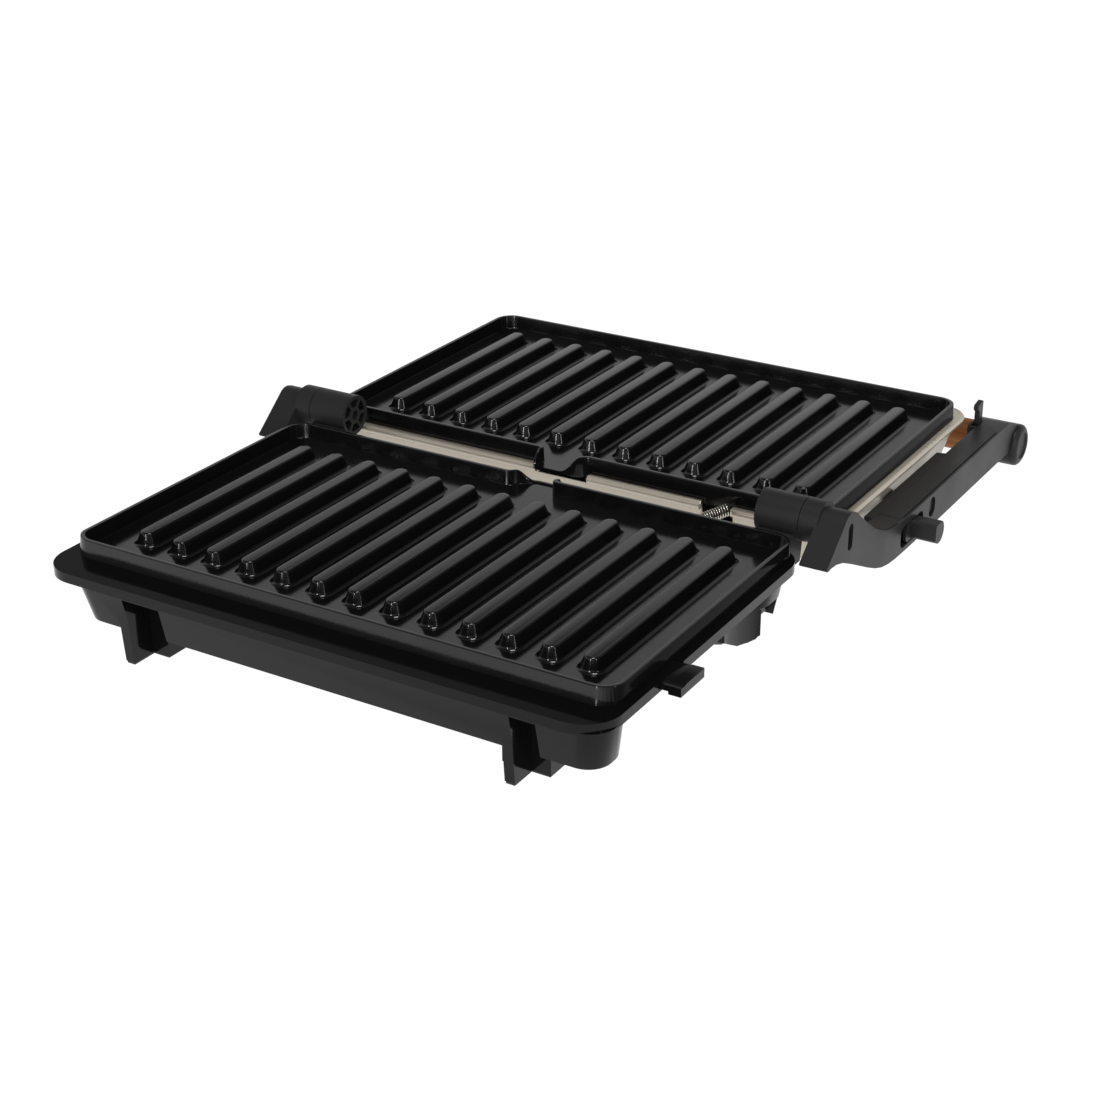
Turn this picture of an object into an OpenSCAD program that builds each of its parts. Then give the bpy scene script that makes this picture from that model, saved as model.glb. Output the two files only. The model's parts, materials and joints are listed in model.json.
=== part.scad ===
// Contact grill lying open at 180 degrees: a base and a floating lid on two arms with a wooden handle.
// Millimetres. Local frame: y = 0 on the hinge axis, z = 0 on the table, x = 0 in the middle of the plates.
// Every node is then moved by row_frame() so that the origin is the middle of the footprint.

/* [Grill plates] */
// Outer width of each plate
plate_w = 230; // [200:1:260]
// Outer depth of each plate
plate_d = 137; // [115:1:160]
// Corner radius of each plate
plate_r = 12; // [8:1:18]
// Thickness of the plate's upright rim
rim_t = 2; // [1.5:0.1:3]
// Height of the rim above the rib tops
rim_over = 1; // [0.5:0.1:2]
// Height of the ribs above the plate floor
rib_h = 5; // [3:0.5:6]
// Distance between ribs
rib_pitch = 15.88; // [14:0.01:18]
// Number of ribs on each plate
rib_count = 13; // [11:1:13]
// Width of a rib along its top
rib_top_w = 5.4; // [4:0.1:6]
// Width of a rib along its foot
rib_foot_w = 8.4; // [7:0.1:10]
// Free floor between the rib ends and the rim
rib_end_gap = 15; // [12:0.5:20]
// Thickness of the plate floor
plate_floor_t = 2.5; // [2:0.1:3.5]
// Width of the grease spout
spout_w = 22; // [16:1:30]
// Reach of the grease spout past the rim
spout_reach = 7; // [4:0.5:8]

/* [Base] */
// Height of the rib tops of the lower plate above the table
cook_h = 38.5; // [36:0.5:46]
// Height of the moulded edge band
band_h = 3.8; // [3:0.1:6]
// How far the band stands out past the plate at the sides
band_side = 3.3; // [2.5:0.1:4]
// How far the band stands out past the plate at the front
band_front = 13.7; // [8:0.1:20]
// How far the band stands out past the plate at the hinge side
band_rear = 1.5; // [1:0.1:3]
// Height of the underside of the base body above the table
belly_h = 14.5; // [12:0.5:18]
// Wall thickness of the base
base_wall = 2.5; // [2:0.1:3.5]
// Thickness of the bottom cover
cover_t = 2; // [1.5:0.1:3]
// Distance of the front feet in from the plate's sides
foot_inset = 33.5; // [27:0.5:45]
// Width of a front foot
foot_w = 19; // [14:0.5:24]

/* [Hinge] */
// Free gap between the two plates when open
plate_gap = 26; // [24:0.5:32]
// Height of the hinge axis above the rib tops
axis_over = 2.6; // [2.2:0.1:3.5]
// Radius of the hinge barrels
barrel_r = 8.5; // [7:0.1:9]
// Length of the hinge barrels
barrel_l = 17.5; // [14:0.5:22]
// Radius of the hinge pins
pin_r = 1.9; // [1.5:0.1:2.5]
// Travel of the floating hinge
float_travel = 3; // [1:0.1:3]

/* [Arms and handle] */
// Free gap between the plate's side and the arms
arm_gap = 3.9; // [3.8:0.1:7]
// Width of the arms
arm_w = 11.1; // [10:0.1:14]
// Height of the underside of the arms above the table
arm_z0 = 9.4; // [8:0.1:12]
// Height of the top of the arms above the table
arm_z1 = 23.8; // [20:0.1:26]
// Distance of the handle from the hinge axis
handle_y = 186.5; // [180:0.5:200]
// Radius of the end bosses of the handle
boss_r = 9.3; // [8:0.1:12]
// Radius of the wooden grip
grip_r = 7.4; // [6:0.1:9]
// How far the end caps stand out past the arms
cap_out = 2.5; // [1.5:0.1:4]
// How far the lock knob stands out past the arm
knob_out = 10.6; // [8:0.1:12]

/* [Lid] */
// How far the lid's lip stands out past the plate at the sides
lip_side = 2; // [1.5:0.1:2.5]
// How far the lip stands out past the plate at the hinge side
lip_hinge = 3; // [2:0.1:4]
// How far the lip stands out past the plate at the handle side
lip_handle = 7.5; // [5:0.1:10]
// Lowest point of the lid shell above the table
lid_z0 = 11.5; // [11:0.1:14]
// Sheet thickness of the lid
lid_t = 1; // [0.8:0.1:1.5]
// Distance of the lid pivots from the hinge axis
pivot_y = 84; // [80:0.5:90]
// Height of the lid pivots above the table
pivot_z = 18.1; // [16:0.1:20]

/* [Drip tray] */
// Length of the tray
tray_l = 190; // [150:1:200]
// Depth of the tray
tray_d = 30; // [24:1:34]
// Height of the tray
tray_h = 6; // [5:0.5:7]
// Running clearance of sliding pieces
slide_gap = 0.5; // [0.4:0.1:0.8]

/* [Wire conduit] */
// Diameter of the spring wire
wire_d = 0.7; // [0.6:0.1:0.8]
// Distance between the coils
coil_pitch = 1.25; // [1.25:0.05:1.4]
// Radius of the coil's centre line
coil_r = 2.3; // [2:0.1:3]
// Number of coils
coil_count = 15; // [12:1:18]

/* [Hidden] */
$fn = 48;
eps = 0.01;

plate_y = plate_gap / 2;                    // near edge of each plate from the hinge axis
plate_x = plate_w / 2;
rim_z = cook_h + rim_over;
floor_z = cook_h - rib_h;                   // top of the plate floor
seat_z = floor_z - 0.5;                     // where the plate's rim sits: top of the band
band_z = seat_z - band_h;
axis_z = cook_h + axis_over;
band_x = plate_x + band_side;
band_y0 = -plate_y - plate_d - band_front;
band_y1 = -plate_y + band_rear;
band_r = plate_r + 2;
draft = 6.2;                                // lean of the front wall over its height
side_draft = 3.2;
wall_y0 = band_y0 + 1;                      // front wall at the band
beam_x = plate_x - 10;                      // left end of the deep front beam
foot_x = plate_x - foot_inset;
arm_x0 = plate_x + arm_gap;
arm_x1 = arm_x0 + arm_w;
barrel_x1 = plate_x - 3;
barrel_x0 = barrel_x1 - barrel_l;
rear_wall_y = band_y1 - 13.5;
front_beam_y = wall_y0 + 21.2;              // rear face of the deep front beam
core_x = plate_x - 15;
rear_x = plate_x - 3;
opening_x = plate_x - 10;                   // opening in the band under the plate
opening_y0 = -plate_y - plate_d + 9;
opening_y1 = -plate_y - 9;
cap_x = arm_x1 + cap_out;
knob_x = arm_x1 + knob_out;
front_reach = -band_y0;
rear_reach = handle_y + boss_r;
row_x = -(knob_x - cap_x) / 2;
row_y = (front_reach - rear_reach) / 2;
lid_x = plate_x + lip_side;
lid_y0 = plate_y - lip_hinge;
lid_y1 = plate_y + plate_d + lip_handle;
lid_r = plate_r + 3;
tray_y1 = rear_wall_y - base_wall - 2;
tray_y0 = tray_y1 - tray_d;
tray_z = belly_h + cover_t + slide_gap;
tray_x1 = rear_x;                           // outer end of the tray body
element_r = 3.3;
element_z = floor_z - plate_floor_t - element_r;
screw_r = 1.5;
head_r = 2.8;
head_h = 2;
boss_z = boss_r;                            // handle axis height: the end bosses rest on the table

black = [0.09, 0.09, 0.09];
matte = [0.2, 0.2, 0.2];
steel = [0.62, 0.62, 0.6];
champagne = [0.66, 0.62, 0.55];

module row_frame() translate([row_x, row_y, 0]) children();

// Rounded rectangle of half width x between y0 and y1
module rounded(x, y0, y1, r) {
    translate([-x + r, y0]) square([2 * x - 2 * r, y1 - y0]);
    translate([-x, y0 + r]) square([2 * x, y1 - y0 - 2 * r]);
    for (cx = [-x + r, x - r], cy = [y0 + r, y1 - r]) translate([cx, cy]) circle(r);
}
module slab(x, y0, y1, r, z0, z1) translate([0, 0, z0]) linear_extrude(z1 - z0) rounded(x, y0, y1, r);
module box(x0, x1, y0, y1, z0, z1) translate([x0, y0, z0]) cube([x1 - x0, y1 - y0, z1 - z0]);
module rod_x(x0, x1, y, z, r) translate([x0, y, z]) rotate([0, 90, 0]) cylinder(h = x1 - x0, r = r);
module rod_z(x, y, z0, z1, r) translate([x, y, z0]) cylinder(h = z1 - z0, r = r);
// A side view outline (y to the right, z up) made solid from x0 to x1
module side(x0, x1) translate([x0, 0, 0]) rotate([90, 0, 90]) linear_extrude(x1 - x0) children();
module side_by_side() { children(); mirror([1, 0, 0]) children(); }

// Screw standing on end: head at z, shank below it
module screw(x, y, z, length) {
    rod_z(x, y, z - length, z, screw_r);
    difference() {
        rod_z(x, y, z, z + head_h, head_r);
        for (a = [0, 90]) translate([x, y, z + head_h]) rotate(a) cube([3.2, 0.8, 1.6], center = true);
    }
}

// One rib with leaning sides and rounded ends
module rib(x, y0, y1) {
    hull() {
        for (y = [y0 + rib_foot_w / 2, y1 - rib_foot_w / 2]) {
            translate([x, y, floor_z - 0.4]) cylinder(h = 0.5, r = rib_foot_w / 2, $fn = 20);
            translate([x, y, cook_h - 0.1]) cylinder(h = 0.1, r = rib_top_w / 2, $fn = 20);
        }
    }
}

// Ribbed tray between y = plate_y and y = plate_y + plate_d, spout towards the hinge
module grill_plate() {
    y0 = plate_y;
    y1 = plate_y + plate_d;
    difference() {
        slab(plate_x, y0, y1, plate_r, seat_z, rim_z);
        slab(plate_x - rim_t, y0 + rim_t, y1 - rim_t, plate_r - rim_t, floor_z, rim_z + 1);
        slab(plate_x - 8, y0 + 8, y1 - 8, plate_r - 6, seat_z - 1, floor_z - plate_floor_t / 5);
        translate([0, y0, floor_z + 2]) spout_cut();
    }
    slab(plate_x - 10.5, y0 + 9.5, y1 - 9.5, plate_r - 4.5, floor_z - plate_floor_t, floor_z);
    slab(plate_x - rim_t - 0.01, y0 + rim_t, y1 - rim_t, plate_r - rim_t, floor_z - 0.45, floor_z);
    for (i = [0 : rib_count - 1])
        rib((i - (rib_count - 1) / 2) * rib_pitch, y0 + rib_end_gap + 2, y1 - rib_end_gap - 2);
    spout();
}
module spout_cut()
    translate([-spout_w / 2 + 2, -1, 0]) cube([spout_w - 4, rim_t + 2, rim_z]);
module spout() {
    difference() {
        translate([0, plate_y + rim_t, floor_z - 0.5]) linear_extrude(4.5) spout_outline(spout_w / 2, spout_reach + rim_t);
        translate([0, plate_y + rim_t + eps, floor_z + 1]) linear_extrude(6)
            spout_outline(spout_w / 2 - 1.8, spout_reach + rim_t - 3);
    }
}
module spout_outline(half, reach)
    polygon([[-half, 0], [half, 0], [half * 0.55, -reach], [-half * 0.55, -reach]]);

// Drafted solid between two rounded rectangles
module drafted(xt, xb, y0t, y0b, y1, r)
    hull() {
        slab(xt, y0t, y1, r, band_z + 0.5, band_z + 0.6, $fn = 32);
        slab(xb, y0b, y1 - 0.8, r - 1, belly_h, belly_h + 0.1, $fn = 32);
    }

module base_housing() row_frame() color(black) {
    difference() {
        union() {
            slab(band_x, band_y0, band_y1, band_r, band_z, seat_z);
            drafted(core_x, core_x - 2, wall_y0, wall_y0 + draft, rear_wall_y, 10);
            translate([beam_mid, 0, 0])
                drafted(beam_half, beam_half - side_draft, wall_y0, wall_y0 + draft, front_beam_y, 9.5);
            drafted(rear_x, rear_x - 1, rear_wall_y - 51, rear_wall_y - 37, rear_wall_y, 9);
            drafted(band_x - 0.2, band_x - side_draft, rear_wall_y - 23.5, rear_wall_y - 23, rear_wall_y, 9);
        }
        translate([-foot_x, 0, 0]) foot_pocket(pocket_left);
        translate([foot_x, 0, 0]) foot_pocket(pocket_right);
        slab(opening_x, opening_y0, opening_y1, plate_r - 4, band_z - 1, seat_z + 1);
        difference() {
            slab(core_x - base_wall, wall_y0 + draft + base_wall + 1, rear_wall_y - base_wall, 7,
                belly_h - 1, band_z + 0.7);
            translate([-foot_x, 0, 0]) foot_surround(pocket_left);
            translate([foot_x, 0, 0]) foot_surround(pocket_right);
        }
        difference() {
            translate([beam_mid, 0, 0]) slab(beam_half - side_draft - base_wall - 1,
                wall_y0 + draft + base_wall + 1, front_beam_y - base_wall - 1, 6, belly_h - 1, band_z);
            translate([-foot_x, 0, 0]) foot_surround(pocket_left);
            translate([foot_x, 0, 0]) foot_surround(pocket_right);
        }
        slab(rear_x - 1 - base_wall, rear_wall_y - 35.5, rear_wall_y - base_wall, 6, belly_h - 1, band_z);
        tray_doorway();
        gland_hole();
        chute_window();
        catch_channel();
        side_by_side() for (x = knuckle_screw_x)
            rod_z(x, rear_wall_y + 6, band_z - 1, band_z + 0.7 * band_h, screw_r);
    }
    box(opening_x + 2.7, opening_x + 4, catch_mid - 0.8, catch_mid + 0.8, band_z + 0.9, seat_z - 1);
    for (s = [-1, 1]) translate([s * foot_x, 0, 0]) front_foot();
    for (p = cover_screws) difference() {
        rod_z(p[0], p[1], belly_h + cover_t, belly_h + 9, 4.2);
        rod_z(p[0], p[1], belly_h, belly_h + 10, screw_r);
    }
}
beam_half = (band_x - 0.2 + beam_x) / 2;
beam_mid = band_x - 0.2 - beam_half;
module tray_doorway()
    box(rear_x - 8, band_x + 5, tray_y0 - slide_gap, rear_wall_y - 4, belly_h - 1, tray_z + tray_h + 0.8);
gland_x = -plate_x + 53;
module gland_hole() translate([gland_x, rear_wall_y + 1, belly_h + 8]) rotate([90, 0, 0]) cylinder(h = 6, r = 4.6);
chute_z1 = band_z - 0.5;
module chute_window() box(-7.8, 7.8, rear_wall_y - 5, rear_wall_y + 2, belly_h + 8.9, chute_z1 + 0.2);
catch_y0 = band_y0 + 38;
catch_y1 = catch_y0 + 16.5;
catch_mid = (catch_y0 + catch_y1) / 2;
catch_travel = 3;
module catch_channel() box(opening_x - 1, band_x + 1, catch_y0 - 0.4, catch_y1 + 0.4, band_z + 1, seat_z + 1);

// Front foot: an upright fin, a block behind it and an open pocket in the front wall to the fin's right
foot_y = band_y0 + 15.2;                    // front face of the block
foot_d = 17;
fin_t = 4;
pocket_left = 17;
pocket_right = 10;
module foot_surround(pocket_w)
    box(-foot_w / 2, fin_t / 2 + pocket_w + 1.5, wall_y0 + draft, foot_y + 2, belly_h, band_z + 0.3);
module foot_pocket(pocket_w)
    box(fin_t / 2, fin_t / 2 + pocket_w, wall_y0 - 2, foot_y, belly_h - 1, band_z - 1.2);
module front_foot() {
    box(-foot_w / 2, foot_w / 2, foot_y, foot_y + foot_d, 1, belly_h + 4);
    side(-fin_t / 2, fin_t / 2) polygon([[band_y0 + 2.6, band_z - 1], [band_y0 + 4.9, 1], [foot_y + 1, 1],
        [foot_y + 1, band_z - 1]]);
}

module front_foot_pads() row_frame() color([0.12, 0.12, 0.12]) side_by_side() translate([foot_x, 0, 0]) {
    box(-foot_w / 2 + 0.5, foot_w / 2 - 0.5, foot_y + 0.5, foot_y + foot_d - 0.5, 0, 1);
    box(-fin_t / 2 + 0.2, fin_t / 2 - 0.2, band_y0 + 5.2, foot_y + 0.5, 0, 1);
}

rear_foot_r = 8;
rear_foot_in = 35;                          // distance in from the plate's side
module rear_feet() row_frame() color([0.12, 0.12, 0.12]) side_by_side() {
    rod_z(plate_x - rear_foot_in, rear_wall_y - rear_foot_r - 3, 0, belly_h, rear_foot_r);
}

module base_bottom_cover() row_frame() color(matte) difference() {
    union() {
        slab(core_x - base_wall - 0.3, wall_y0 + draft + base_wall + 1.3, rear_wall_y - base_wall - 0.3, 6.7,
            belly_h, belly_h + cover_t);
        translate([beam_mid, 0, 0]) slab(beam_half - side_draft - base_wall - 1.3,
            wall_y0 + draft + base_wall + 1.3, front_beam_y - base_wall - 1.3, 5.7, belly_h, belly_h + cover_t);
        slab(rear_x - 1 - base_wall - 0.3, rear_wall_y - 35.2, rear_wall_y - base_wall - 0.3, 5.7,
            belly_h, belly_h + cover_t);
    }
    for (y = [-120, -90, -60], x = [-30 : 12 : 30]) box(x - 3, x + 3, y - 1, y + 1, belly_h - 1, belly_h + 5);
    for (p = cover_screws) rod_z(p[0], p[1], belly_h - 1, belly_h + 5, screw_r + 0.15);
    side_by_side() box(foot_x - foot_w / 2 - 0.3, foot_x + foot_w / 2 + 0.3, wall_y0, foot_y + foot_d + 0.3,
        belly_h - 1, belly_h + 5);
    for (f = [[-foot_x, pocket_left], [foot_x, pocket_right]])
        box(f[0], f[0] + fin_t / 2 + f[1] + 1.8, wall_y0, foot_y + 2.3, belly_h - 1, belly_h + 5);
}
cover_screw_x = core_x - base_wall - 4;
cover_screws = [for (x = [-cover_screw_x, cover_screw_x], y = [foot_y + 32, rear_wall_y - 60]) [x, y]];

module base_screws() row_frame() color(steel)
    for (p = cover_screws) translate([p[0], p[1], belly_h - eps]) mirror([0, 0, 1]) screw(0, 0, 0, 7);

module lower_grill_plate() row_frame() color(black) mirror([0, 1, 0]) grill_plate();
module upper_grill_plate() row_frame() color(black) grill_plate();

// Tubular element: an open loop of rod with two cold ends
module element() {
    xo = reflector_x - element_r - 2.2;
    ya = plate_y + 30;
    yb = plate_y + plate_d - 30;
    bend = 8;
    for (y = [ya, yb]) rod_x(-xo + bend, xo - bend, y, element_z, element_r);
    for (s = [-1, 1]) {
        translate([s * xo, ya + bend, element_z]) rotate([-90, 0, 0]) cylinder(h = yb - ya - 2 * bend, r = element_r);
        for (y = [ya, yb]) translate([s * (xo - bend), y == ya ? ya + bend : yb - bend, element_z])
            rotate(s > 0 ? (y == ya ? -90 : 0) : (y == ya ? 180 : 90))
                rotate_extrude(angle = 90) translate([bend, 0]) circle(element_r);
    }
}
module lower_heating_element() row_frame() color(steel) mirror([0, 1, 0]) element();
module upper_heating_element() row_frame() color(steel) element();

// Shallow sheet pan under the element
reflector_x = core_x - base_wall - 9;
reflector_z0 = element_z - element_r - 1.2;
cover_top = belly_h + cover_t;
module reflector() difference() {
    slab(reflector_x, plate_y + 24, plate_y + plate_d - 14, 6, reflector_z0, element_z - 1);
    slab(reflector_x - 0.8, plate_y + 24.8, plate_y + plate_d - 14.8, 5.2, element_z - element_r - 0.6, element_z);
}
module lower_reflector() row_frame() color(steel) mirror([0, 1, 0]) reflector();
module upper_reflector() row_frame() color(steel) reflector();

module thermostat() row_frame() color([0.85, 0.82, 0.75]) {
    translate([30, -plate_y - plate_d / 2, 0]) {
        rod_z(0, 0, cover_top + 0.3, reflector_z0, 7);
        box(-9, 9, -4, 4, cover_top + 0.3, cover_top + 2);
    }
}
fuse_r = (reflector_z0 - cover_top) / 3;
module thermal_fuse() row_frame() color([0.8, 0.8, 0.8])
    rod_x(-40, -20, -plate_y - plate_d / 2, cover_top + fuse_r + 0.3, fuse_r);
block_x = -plate_x + 50;                    // middle of the terminal block and of the cord's way in
block_top = reflector_z0 - 1.2;
module terminal_block() row_frame() color([0.9, 0.9, 0.88]) difference() {
    box(block_x - 13, block_x + 13, rear_wall_y - 64, rear_wall_y - 52, cover_top, block_top);
    for (x = [-9, 0, 9]) rod_z(block_x + x, rear_wall_y - 58, cover_top + 2, block_top + 1, 1.6);
}
module cord_gland() row_frame() color(matte)
    translate([gland_x, rear_wall_y, belly_h + 8]) rotate([90, 0, 0]) difference() {
        union() {
            translate([0, 0, -3]) cylinder(h = 3, r = 6.5);
            cylinder(h = 4, r = 4.4);
        }
        translate([0, 0, -4]) cylinder(h = 12, r = 3);
    }

// Open gutter that leads grease from under the spouts into the tray
module grease_chute() row_frame() color(matte) difference() {
    side(-7.5, 7.5) polygon([[5, chute_z1], [5, belly_h + 10.5], [rear_wall_y - 9, belly_h + 9.2],
        [rear_wall_y - 9, chute_z1]]);
    side(-6, 6) polygon([[3.5, chute_z1 + 1], [3.5, belly_h + 12.2], [rear_wall_y - 10, belly_h + 10.7],
        [rear_wall_y - 10, chute_z1 + 1]]);
}

// Base side of the hinge: hollow barrel with radial webs, on a bracket under the band
module knuckle() difference() {
    union() {
        rod_x(barrel_x0, barrel_x1, 0, axis_z, barrel_r);
        side(barrel_x0 + 1, barrel_x1 - 1) polygon([[-6, axis_z - 3], [0, axis_z - 6], [-1.5, band_z - 5],
            [rear_wall_y + 0.4, band_z - 5], [rear_wall_y + 0.4, band_z - 0.05], [band_y1 + 0.6, band_z - 0.05],
            [band_y1 + 0.6, axis_z - 5]]);
    }
    difference() {
        rod_x(barrel_x0 - 1, barrel_x0 + 9, 0, axis_z, barrel_r - 1.6);
        rod_x(barrel_x0 - 2, barrel_x0 + 10, 0, axis_z, 3.6);
        for (a = [0 : 60 : 150]) translate([0, 0, axis_z]) rotate([a, 0, 0])
            box(barrel_x0 - 2, barrel_x0 + 10, -barrel_r, barrel_r, -0.6, 0.6);
    }
    rod_x(barrel_x0 - 1, barrel_x1 + 1, 0, axis_z, pin_r + 0.05);
    for (x = knuckle_screw_x) rod_z(x, rear_wall_y + 6, band_z - 8, band_z + 1, screw_r + 0.1);
}
knuckle_screw_x = [barrel_x0 + 5, barrel_x1 - 5];
module hinge_knuckle_right() row_frame() color(matte) knuckle();
module hinge_knuckle_left() row_frame() color(matte) mirror([1, 0, 0]) knuckle();
module hinge_screws() row_frame() color(steel) side_by_side()
    for (x = knuckle_screw_x) translate([x, rear_wall_y + 6, band_z - 5 - eps]) mirror([0, 0, 1])
        screw(0, 0, 0, 5 + 0.6 * band_h);

// Release catch of the lower plate: a tab through the band, pushed in against a spring
module plate_catch() row_frame() color(black) {
    difference() {
        box(opening_x + 2.9, band_x + 8, catch_y0, catch_y1, band_z + 1.3, seat_z - 0.3);
        box(opening_x + 2.5, opening_x + 14.3, catch_mid - 1.3, catch_mid + 1.3, band_z + 1, seat_z - 0.8);
    }
    side(band_x + catch_travel + 0.2, band_x + 8) polygon([[catch_y0, band_z + 0.2], [catch_y1, band_z + 0.2],
        [catch_y1, seat_z], [catch_y0 + 3.5, seat_z], [catch_y0, seat_z - 2]]);
}
module catch_spring() row_frame() color(steel)
    rod_x(opening_x + 4 + catch_travel + 0.3, opening_x + 14.3, catch_mid, band_z + 2.1, 0.8);

// Tray that slides out of the right side, with a curved pull
module drip_tray() row_frame() color(black) {
    difference() {
        box(tray_x1 - tray_l, tray_x1, tray_y0, tray_y1, tray_z, tray_z + tray_h);
        box(tray_x1 - tray_l + 1.5, tray_x1 - 1.5, tray_y0 + 1.5, tray_y1 - 1.5, tray_z + 1.5, tray_z + 20);
    }
    box(tray_x1 - 0.5, tray_x1 + 1.5, tray_y0, pull_y1 - 1.5, tray_z, tray_z + tray_h);
    intersection() {
        translate([0, 0, belly_h]) linear_extrude(band_z - belly_h) polygon(concat(
            [[tray_x1 + 0.4, pull_y1 - 29], [pull_x - 2, pull_y1 - 29.5]],
            [for (i = [0 : 12]) let (a = 15 * i) [pull_x - 4.6 * sin(a) * (1 - i / 24),
                pull_y1 - 15.5 - (i < 6 ? 13.5 : 14.5) * cos(a) + (i < 6 ? 0 : 1)]],
            [[pull_x - 0.6, pull_y1], [tray_x1 + 0.4, pull_y1 - 1.6]]));
        side(tray_x1, pull_x + 1) polygon([[pull_y1 - 30, band_z - 0.6], [pull_y1 - 2.6, band_z - 0.6],
            [pull_y1 - 0.8, band_z - 1.4], [pull_y1, band_z - 3.2], [pull_y1, belly_h + 1.4],
            [pull_y1 - 1.5, belly_h + 0.2], [pull_y1 - 5, belly_h + 0.2], [pull_y1 - 12, belly_h + 1.6],
            [pull_y1 - 20, belly_h + 6], [pull_y1 - 30, band_z - 3]]);
    }
}
pull_y1 = rear_wall_y - 24.2;               // rear end of the pull
pull_x = band_x - 0.2;

module hinge_pin() {
    rod_x(barrel_x0 + 3, arm_x1 - 2, 0, axis_z, pin_r);
}
module hinge_pin_right() row_frame() color(steel) hinge_pin();
module hinge_pin_left() row_frame() color(steel) mirror([1, 0, 0]) hinge_pin();

// Side outline of an arm: a leaning flat at the hinge, a dip, then a straight run to the handle boss
arm_top = [[49.5, arm_z1 + 0.1], [42.7, arm_z1 + 0.9], [38.5, arm_z1 + 1.8], [34.5, arm_z1 + 3.1],
    [29, arm_z1 + 5.5], [23.6, arm_z1 + 8.4], [18.3, arm_z1 + 12], [13, arm_z1 + 15.9], [8.4, axis_z + 2],
    [5.6, axis_z + 4.3], [3.2, axis_z + 5.7]];
hood_y = handle_y - 24.5;                   // front edge of the hood over the handle's end
hood_top = [[handle_y, boss_z + boss_r], [handle_y - 4, boss_z + boss_r + 2.2], [handle_y - 8, boss_z + boss_r + 3.9],
    [handle_y - 11, arm_z1 - 0.4], [handle_y - 13.5, arm_z1]];
module arm_outline() {
    polygon(concat([[-20.4, axis_z - 8.4], [-20.3, axis_z - 9.2], [-19.5, axis_z - 9.7], [-16.2, axis_z - 9.4],
        [-11.7, axis_z - 9.8], [-5.7, axis_z - 11.5], [2.5, axis_z - 15.3], [11, axis_z - 19.5],
        [19, arm_z0 + 8.2], [26.5, arm_z0 + 4.8], [33.3, arm_z0 + 2.4], [40.1, arm_z0 + 1.1],
        [47, arm_z0 + 0.5], [58, arm_z0 + 0.2], [80, arm_z0], [handle_y, arm_z0]], hood_top, arm_top,
        [[0.4, axis_z + 6.5], [-1.8, axis_z + 6.4], [-3.8, axis_z + 5.5], [-5.2, axis_z + 4.3]]));
}
// Fine parting line between the outer wall and the arm's top, along the valley
module valley_seam() side(arm_x1 - 1.4, arm_x1 - 1)
    polygon(concat([for (q = arm_top) q + [0, 2]], [for (i = [len(arm_top) - 1 : -1 : 0]) arm_top[i] - [0, 0.6]]));
module slot_cut(x0, x1) round_slot(x0, x1, 0, axis_z, pin_r + 0.15, -float_travel - 3.6);
// Upright slot: two round ends and the strip between them
module round_slot(x0, x1, y, z, r, drop) {
    rod_x(x0, x1, y, z, r);
    rod_x(x0, x1, y, z + drop, r);
    box(x0, x1, y - r, y + r, min(z, z + drop), max(z, z + drop));
}
cover_y0 = 56;
cover_y1 = handle_y - 26.5;
module arm() {
    difference() {
        union() {
            side(arm_x0, arm_x1) arm_outline();
            rod_x(barrel_x1 + 0.3, arm_x0 + 1, 0, axis_z, barrel_r);
            rod_x(arm_x0 - 4, arm_x1, handle_y, boss_z, boss_r);
            hood();
        }
        slot_cut(barrel_x1 - 1, arm_x1 + 1);
        box(arm_x0 - 1, arm_x1 - 2, cover_y0, cover_y1, arm_z0 + 2, arm_z1 + 1);
        box(arm_x0 - 1, arm_x1 - 1, cover_y0, cover_y1, arm_z1 - 2, arm_z1 + 1);
        valley_seam();
        round_slot(arm_x0 - 1, arm_x1 + 1, pivot_y, pivot_z - 1, 3.2, 2);
        rod_x(arm_x0 - 5, arm_x1 + 1, handle_y, boss_z, 2.6);
    }
}
// Thin roof that carries the arm's top on to the boss, past the arm's inner face
module hood() side(arm_x0 - 4, arm_x0 + 1)
    polygon(concat(hood_top, [[hood_y + 1.4, arm_z1], [hood_y + 0.4, arm_z1 - 0.6], [hood_y, arm_z1 - 2],
        [hood_y + 0.4, arm_z1 - 5], [hood_y + 2.4, arm_z1 - 5], [hood_y + 2.4, arm_z1 - 2.4],
        [handle_y - 13.5, arm_z1 - 2.4], [handle_y - 8, boss_z + boss_r], [handle_y, boss_z]]));
knob_y = 65.5;
window_z0 = arm_z0 + 2.3;
window_z1 = arm_z1 - 3;
knob_gap = 0.4;                             // clearance round the slider in its window
module knob_window()
    round_block(arm_x1 - 3, arm_x1 + 1, knob_y - 14, knob_y + 9, window_z0, window_z1, 3);
// Block with its four edges along X rounded
module round_block(x0, x1, y0, y1, z0, z1, r) {
    for (y = [y0 + r, y1 - r], z = [z0 + r, z1 - r]) rod_x(x0, x1, y, z, r);
    box(x0, x1, y0 + r, y1 - r, z0, z1);
    box(x0, x1, y0, y1, z0 + r, z1 - r);
}
module arm_right() row_frame() color(matte) difference() {
    arm();
    knob_window();
    box(arm_x0 - 2.9, arm_x0 + 0.1, latch_y - 5.8, latch_y + 1.2, arm_z1 - 6, arm_z1 + 1);
    rod_x(arm_x0 - 1, arm_x0 + 8.3, latch_y, latch_z, 1.25);
}
module arm_left() row_frame() color(matte) mirror([1, 0, 0]) arm();
module arm_cover() difference() {
    box(arm_x0, arm_x1 - 1.4, cover_y0, cover_y1, arm_z1 - 2, arm_z1);
    for (y = arm_screw_y) rod_z((arm_x0 + arm_x1) / 2, y, arm_z1 - 3, arm_z1 + 1, screw_r + 0.1);
}
arm_screw_y = [cover_y0 + 22, cover_y1 - 12];
module arm_cover_right() row_frame() color(matte) arm_cover();
module arm_cover_left() row_frame() color(matte) mirror([1, 0, 0]) arm_cover();
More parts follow.
